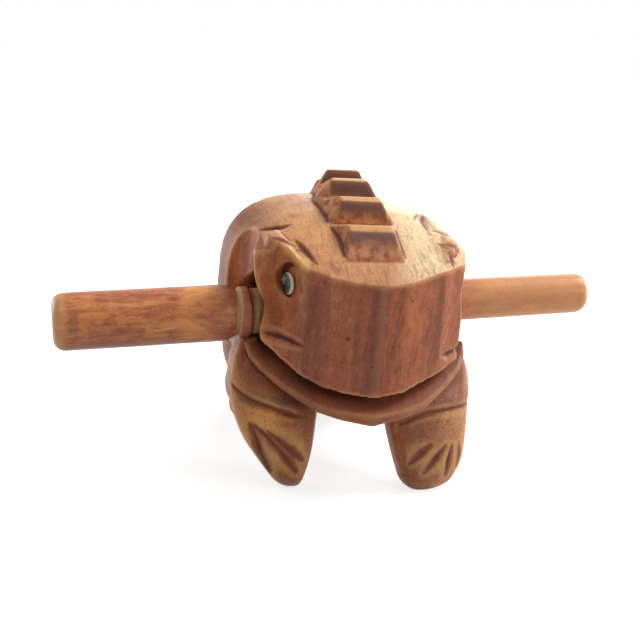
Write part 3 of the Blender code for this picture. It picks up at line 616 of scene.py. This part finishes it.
# Knife cuts in the legs, as x, y and height
RIGHT_WRIST = [
    (-32.9, -29.2, 27.9), (-31.0, -33.2, 26.0), (-28.3, -35.2, 24.7),
    (-23.1, -36.5, 23.2), (-15.4, -36.6, 21.0),
]
LEFT_WRIST = [
    (10.6, -35.9, 18.4), (13.8, -36.8, 20.6), (17.8, -36.9, 21.9),
    (23.1, -36.5, 22.5), (30.1, -33.4, 23.2),
]
WRIST_CUTS = [(2.0, RIGHT_WRIST), (1.8, LEFT_WRIST)]
TOE_CUTS = [
    (3.4, [(-28.8, -35.8, 19.2), (-27.3, -36.2, 15.1), (-25.2, -35.0, 10.1), (-22.5, -32.8, 5.2)]),
    (2.8, [(-28.0, -36.2, 19.2), (-25.1, -37.1, 16.3), (-21.0, -37.2, 12.2), (-15.9, -35.1, 5.9)]),
    (2.8, [(-24.6, -37.2, 17.7), (-20.3, -37.4, 13.8), (-14.8, -36.0, 9.5)]),
    (2.0, [(19.0, -38.1, 13.8), (16.3, -38.0, 11.1), (13.9, -37.2, 8.1)]),
    (2.0, [(23.0, -38.0, 13.4), (20.8, -38.2, 10.0), (17.8, -37.9, 5.5)]),
    (1.8, [(24.8, -37.8, 13.3), (24.3, -37.9, 9.2), (23.9, -37.6, 4.6)]),
    (1.8, [(27.0, -37.0, 13.5), (27.5, -36.8, 10.1), (27.0, -36.9, 7.0)]),
]


def widths_from_cut(points, cuts, lift=0.0):
    """Distance from the nearest of some cuts, as a share of its width, which is narrow at both ends."""
    places = points / MM - np.array(FROG_SHIFT) - np.array((0.0, 0.0, lift))
    nearest = np.full(len(places), 1e3)
    for width, line in cuts:
        for n, (start, end) in enumerate(zip(np.array(line), np.array(line)[1:])):
            run = end - start
            share = np.clip((places - start) @ run / (run @ run), 0.0, 1.0)
            away = np.linalg.norm(places - start - share[:, None] * run, axis=1)
            swell = 0.35 + 0.65 * np.sin(math.pi * (0.04 + 0.92 * (n + share) / (len(line) - 1)))
            nearest = np.minimum(nearest, away / (width * swell))
    return nearest


# Plan of the lips from the middle outwards, then the saw cut's height at the nose and its slope
LIP_PLAN = [
    (0, -45.4), (8, -44.1), (13.5, -42.4), (18, -39.8),
    (22, -36.9), (26, -33.2), (28.6, -29.6), (29.2, -26),
]
MOUTH_HEIGHT = 26.4
MOUTH_SLOPE = 0.75
NOSE_Y = -44.5


def behind_lips(x, y):
    """Distance in plan from the edge of the lips."""
    nearest = np.full(len(x), 1e3)
    for (x0, y0), (x1, y1) in zip(LIP_PLAN, LIP_PLAN[1:]):
        run = np.array([x1 - x0, y1 - y0])
        share = np.clip(((np.abs(x) - x0) * run[0] + (y - y0) * run[1]) / (run @ run), 0, 1)
        nearest = np.minimum(nearest, np.hypot(np.abs(x) - x0 - share * run[0], y - y0 - share * run[1]))
    return nearest


def inside_depth(points):
    """Mouth, bore and hollow, where no light reaches."""
    x, y, z = (points / MM - np.array(FROG_SHIFT)).T
    mouth = np.abs(z - (MOUTH_HEIGHT + MOUTH_SLOPE * (y - NOSE_Y)))
    mouth = smooth_step(mouth, 2.6, 2.1) * smooth_step(behind_lips(x, y), 2.2, 3.4)
    mouth *= smooth_step(y, -18.0, -19.0) * smooth_step(np.abs(x), 29.5, 27.5)
    bore = smooth_step(np.hypot(y + 22.0, z - 46.5), 8.8, 8.2) * smooth_step(np.abs(x), 29.0, 24.0)
    hollow = smooth_step(np.hypot(x / 17.0, (y - 1.0) / 18.5), 1.06, 1.0) * smooth_step(z, 18.0, 28.0)
    hollow *= smooth_step(z, 62.0, 60.5)
    return np.maximum(np.maximum(mouth, bore), hollow)


def make_frog(finish):
    """The carved frog, from its solid: edges sanded round, tool marks, and its cuts, lighter edges,
    highlights and shade painted on.
    """
    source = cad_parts["frog_body"].data.copy()
    bm = bmesh.new()
    bm.from_mesh(source)
    bmesh.ops.remove_doubles(bm, verts=bm.verts, dist=1e-6)
    bm.to_mesh(source)
    bm.free()
    dense = with_modifier(source, "REMESH", mode="VOXEL", voxel_size=VOXEL * MM)
    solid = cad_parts["frog_body"]
    dense = with_modifier(dense, "SHRINKWRAP", target=solid, wrap_method="NEAREST_SURFACEPOINT")
    sand(dense, SANDING_PASSES, MOST_RUBBED, MOST_FILLED)
    sand(dense, 2, 0.10, 0.05)
    fine, wide = bend_of(dense, 20), bend_of(dense, 80)
    triangles = sum(len(p.vertices) - 2 for p in dense.polygons)
    light = with_modifier(dense, "DECIMATE", ratio=min(1.0, MOST_TRIANGLES / triangles))
    tree = kdtree.KDTree(len(dense.vertices))
    for n, vert in enumerate(dense.vertices):
        tree.insert(vert.co, n)
    tree.balance()
    nearest = np.array([tree.find(vert.co)[1] for vert in light.vertices])
    fine, wide = fine[nearest], wide[nearest]
    tool_marks(light, 7.0, 0.12)
    points, normals = points_of(light), normals_of(light)
    points[:, 2] = np.maximum(points[:, 2], SOLE_LIFT * MM)
    set_points(light, points)
    ridge = ridge_zone(points)
    cut = smooth_step(-fine, 0.02, 0.14) * 0.85 + smooth_step(-wide, 0.12, 0.45) * 0.5
    paint(light, "cavity", cut * (1.0 - 0.85 * ridge))
    paint(light, "ridge", ridge)
    # Edges that stand out, painted lighter: partly handling, partly painted highlight
    worn_and_highlit = smooth_step(fine, 0.015, 0.10) * 0.6 + smooth_step(wide, 0.10, 0.40) * 0.3
    paint(light, "wear", worn_and_highlit * (1.0 - 0.75 * ridge))
    paint(light, "tooth", tooth_faces(points, normals))
    # Painted highlight on the upward-facing tops of the teeth
    paint(light, "crest", ridge * smooth_step(normals[:, 2], 0.80, 0.94))
    toes = widths_from_cut(points, TOE_CUTS)
    others = np.minimum(widths_from_cut(points, HEAD_CUTS, EYE_HEIGHT), widths_from_cut(points, WRIST_CUTS))
    paint(light, "stain", smooth_step(np.minimum(toes, others), 0.66, 0.14))
    # Light ridges along the toe cuts, partly handling and partly painted highlight, and the painted
    # highlight along the right brow
    beside = smooth_step(toes, 0.40, 1.00) * smooth_step(toes, 2.40, 1.00)
    brow = smooth_step(widths_from_cut(points, BROW_EDGE, EYE_HEIGHT), 0.60, 0.10)
    paint(light, "beside", np.maximum(beside * 0.45, brow))
    # Upward faces high on the body, for the top's paler colour: partly handling, partly painted light
    upwards = smooth_step(normals[:, 2], 0.55, 0.92)
    high = smooth_step(points[:, 2] / MM, 52.0, 60.0)
    edge = smooth_step(points[:, 0] / MM - FROG_SHIFT[0], -31.0, -18.0)
    paint(light, "top", upwards * high * edge)
    paint(light, "depth", inside_depth(points))
    frog = new_object("carved_frog", light, finish)
    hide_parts("frog_body")
    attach(frog, "root")
    return frog


def stick_outline():
    """Distance along the stick and radius, from the thick end to the tip."""
    turns = [math.pi / 2 * i / 8 for i in range(9)]
    bevel = [(END_ROUND * (1 - math.sin(t)), END_ROUND * (1 - math.cos(t))) for t in turns]
    outline = [(d, HEAD_RADIUS - r) for d, r in bevel[::-1]]
    outline += [(d, HEAD_RADIUS) for d in np.arange(4.5, HEAD_LENGTH - 0.5, 1.5)]
    collar = [
        (-0.2, HEAD_RADIUS),
        (0.7, HEAD_RADIUS - 0.06),
        (1.5, HEAD_RADIUS - 0.30),
        (2.4, HEAD_RADIUS - 0.75),
        (3.1, NECK_RADIUS + 0.30),
        (3.6, NECK_RADIUS - 0.05),
        (3.9, NECK_RADIUS - 0.08),
        (4.2, NECK_RADIUS + 0.10),
        (4.6, RING_RADIUS - 0.15),
        (4.9, RING_RADIUS),
        (6.5, RING_RADIUS),
        (6.8, RING_RADIUS - 0.15),
        (7.1, NECK_RADIUS + 0.05),
        (7.5, NECK_RADIUS),
    ]
    outline += [(HEAD_LENGTH + d, r) for d, r in collar]
    taper_start = HEAD_LENGTH + 7.5
    taper_end = STICK_LENGTH - END_ROUND
    for d in np.arange(taper_start + 1.5, taper_end - 0.5, 1.5):
        share = (d - taper_start) / (taper_end - taper_start)
        outline.append((d, NECK_RADIUS + (TIP_RADIUS - NECK_RADIUS) * share))
    return outline + [(STICK_LENGTH - d, TIP_RADIUS - r) for d, r in bevel]


def turned(outline, segments):
    """Mesh of an outline turned about the Z axis, its ends closed to a point, in millimetres."""
    bm = bmesh.new()
    rings = []
    for distance, radius in outline:
        ring = []
        for i in range(segments):
            turn = 2 * math.pi * i / segments
            ring.append(bm.verts.new((radius * math.cos(turn), radius * math.sin(turn), distance)))
        rings.append(ring)
    for near, far in zip(rings, rings[1:]):
        for i in range(segments):
            j = (i + 1) % segments
            bm.faces.new((near[i], near[j], far[j], far[i]))
    for ring, way in ((rings[0], -1), (rings[-1], 1)):
        middle = bm.verts.new((0, 0, ring[0].co.z))
        for i in range(segments):
            j = (i + 1) % segments
            bm.faces.new((ring[i], ring[j], middle)[::way])
    bmesh.ops.recalc_face_normals(bm, faces=bm.faces)
    mesh = bpy.data.meshes.new("turned")
    bm.to_mesh(mesh)
    bm.free()
    return mesh


def make_stick(finish):
    mesh = turned(stick_outline(), 96)
    points = points_of(mesh)
    for n, point in enumerate(points):
        dent = noise.noise(Vector((point[0] / 5, point[1] / 5, point[2] / 14)))
        points[n, :2] *= 1 - 0.012 * abs(dent) - 0.006
    set_points(mesh, points)
    lay = Matrix.Translation(Vector(STICK_START) * MM)
    lay @= Euler((0, math.pi / 2 - math.radians(STICK_TILT), 0)).to_matrix().to_4x4()
    mesh.transform(lay @ Matrix.Scale(MM, 4))
    paint(mesh, "cavity", smooth_step(-bend_of(mesh, 4), 0.02, 0.2))
    stick = new_object("striking_stick", mesh, finish)
    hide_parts("stick")
    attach(stick, "root")
    return stick


def make_bead(name, node, finish):
    """Domed bead over its solid, with a pale rim and a pupil that looks down and forwards."""
    low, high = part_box(node)
    middle = (low + high) / 2
    source = points_of(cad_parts[node].data)
    flat, _, _ = np.linalg.svd((source - source.mean(0)).T, full_matrices=True)
    axis = Vector(flat[:, 2])
    if axis.dot(middle - Vector(FROG_SHIFT) * MM) < 0:
        axis = -axis
    depths = (source - np.array(middle)) @ np.array(axis)
    base = middle + axis * float(depths.min())
    outline = [(0.0, BEAD_RADIUS * 0.86), (0.25, BEAD_RADIUS * 0.97), (0.5, BEAD_RADIUS)]
    for i in range(1, 20):
        turn = math.pi / 2 * i / 20
        outline.append((0.5 + (BEAD_HEIGHT - 0.5) * math.sin(turn), BEAD_RADIUS * math.cos(turn)))
    mesh = turned(outline, 64)
    lay = Matrix.Translation(base) @ axis.to_track_quat("Z", "Y").to_matrix().to_4x4() @ Matrix.Scale(MM, 4)
    mesh.transform(lay)
    points = points_of(mesh)
    away = points - np.array(base)
    forward = np.cross([0, 0, 1], np.array(axis))
    forward *= -math.copysign(1.0, forward[1]) / np.linalg.norm(forward)
    ahead = away @ forward / MM
    up = away[:, 2] / MM
    paint(mesh, "ring", smooth_step(np.hypot(ahead, up), *RING_EDGE))
    paint(mesh, "pupil", smooth_step(np.hypot(ahead - PUPIL_AHEAD, up - PUPIL_UP), *PUPIL_EDGE))
    bead = new_object(name, mesh, finish)
    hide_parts(node)
    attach(bead, "root")
    return bead


def add_camera():
    turn, height, roll = (math.radians(a) for a in (VIEW_TURN, VIEW_HEIGHT, VIEW_ROLL))
    ahead = Vector((math.sin(turn) * math.cos(height), math.cos(turn) * math.cos(height), -math.sin(height)))
    right = Vector((math.cos(turn), -math.sin(turn), 0.0))
    up = right.cross(ahead)
    right, up = right * math.cos(roll) + up * math.sin(roll), up * math.cos(roll) - right * math.sin(roll)
    lens = bpy.data.cameras.new("camera")
    lens.lens = LENS
    lens.sensor_width = 36.0
    lens.clip_start = 0.01
    camera = bpy.data.objects.new("camera", lens)
    bpy.context.scene.collection.objects.link(camera)
    place = Matrix((right, up, -ahead)).transposed().to_4x4()
    place.translation = (Vector(VIEW_TARGET) - ahead * VIEW_DISTANCE) * MM
    camera.matrix_world = place
    bpy.context.scene.camera = camera


def add_lamp(name, place, size, power, colour=WHITE):
    """Square soft box in metres that looks at the frog."""
    data = bpy.data.lights.new(name, "AREA")
    data.shape = "SQUARE"
    data.size = size
    data.energy = power
    data.color = colour
    lamp = bpy.data.objects.new(name, data)
    bpy.context.scene.collection.objects.link(lamp)
    lamp.location = place
    lamp.rotation_euler = (Vector((0, 0, 0.04)) - Vector(place)).to_track_quat("-Z", "Y").to_euler()


def seen_directly(shader):
    """1 for what the camera, a gloss or a glass sees, 0 for what lights the object."""
    camera, gloss, glass = (
        shader.node("ShaderNodeLightPath", output=f"Is {kind} Ray")
        for kind in ("Camera", "Glossy", "Transmission")
    )
    settings = {"operation": "ADD", "use_clamp": True}
    return shader.node("ShaderNodeMath", settings, {0: camera + gloss, 1: glass})


# Strength of the world's light from before the frog and from behind it
WORLD_BEFORE = 0.28
WORLD_BEHIND = 0.52


def add_light():
    add_lamp("key", (0.75, 0.05, 0.85), 0.40, 11.8, (1.0, 0.96, 0.89))
    add_lamp("top_left", (-0.60, -0.05, 0.80), 0.40, 1.6)
    add_lamp("front_right", (0.80, -0.75, 0.45), 0.40, 3.5, (1.0, 0.97, 0.92))
    add_lamp("right_side", (1.0, 0.25, 0.12), 0.40, 3.0)
    add_lamp("back_right", (0.50, 0.95, 0.40), 0.60, 4.5)
    add_lamp("left_side", (-0.78, 0.80, 0.14), 0.45, 4.0)
    world = bpy.data.worlds.new("studio")
    bpy.context.scene.world = world
    world.use_nodes = True
    sky = Shader("studio", world)
    way = sky.split(sky.node("ShaderNodeTexCoord", output="Generated"))
    before, behind, white = (
        sky.node("ShaderNodeBackground", None, {"Color": WHITE, "Strength": strength})
        for strength in (WORLD_BEFORE, WORLD_BEHIND, 1.0)
    )
    plain = sky.node("ShaderNodeMixShader", None, {0: sky.band(way[1], -0.6, 0.5), 1: before, 2: behind})
    both = sky.node("ShaderNodeMixShader", None, {0: seen_directly(sky), 1: plain, 2: white})
    sky.link(both, sky.tree.nodes["World Output"].inputs["Surface"])


def add_floor():
    bm = bmesh.new()
    bmesh.ops.create_grid(bm, x_segments=1, y_segments=1, size=6.0)
    mesh = bpy.data.meshes.new("floor")
    bm.to_mesh(mesh)
    bm.free()
    shader = Shader("floor_white")
    shader.set(Base_Color=(0.50, 0.50, 0.50), Roughness=0.9)
    far = shader.node("ShaderNodeVectorMath", {"operation": "LENGTH"}, {0: shader.place()}, 1)
    dark, white = (
        shader.node("ShaderNodeEmission", None, {"Color": WHITE, "Strength": strength})
        for strength in (0.0, 1.0)
    )
    share = seen_directly(shader) * shader.band(far, 150.0, 600.0, 0.72, 1.0)
    glow = shader.node("ShaderNodeMixShader", None, {0: share, 1: dark, 2: white})
    both = shader.node("ShaderNodeAddShader", None, {0: Value(shader, shader.surface.outputs[0]), 1: glow})
    shader.link(both, shader.tree.nodes["Material Output"].inputs["Surface"])
    new_object("floor", mesh, shader.material)


bpy.context.scene.view_settings.view_transform = "Standard"
add_camera()
add_light()
add_floor()
make_frog(frog_wood())
make_stick(stick_wood())
beads = bead_glass()
make_bead("right_bead", "right_eye", beads)
make_bead("left_bead", "left_eye", beads)
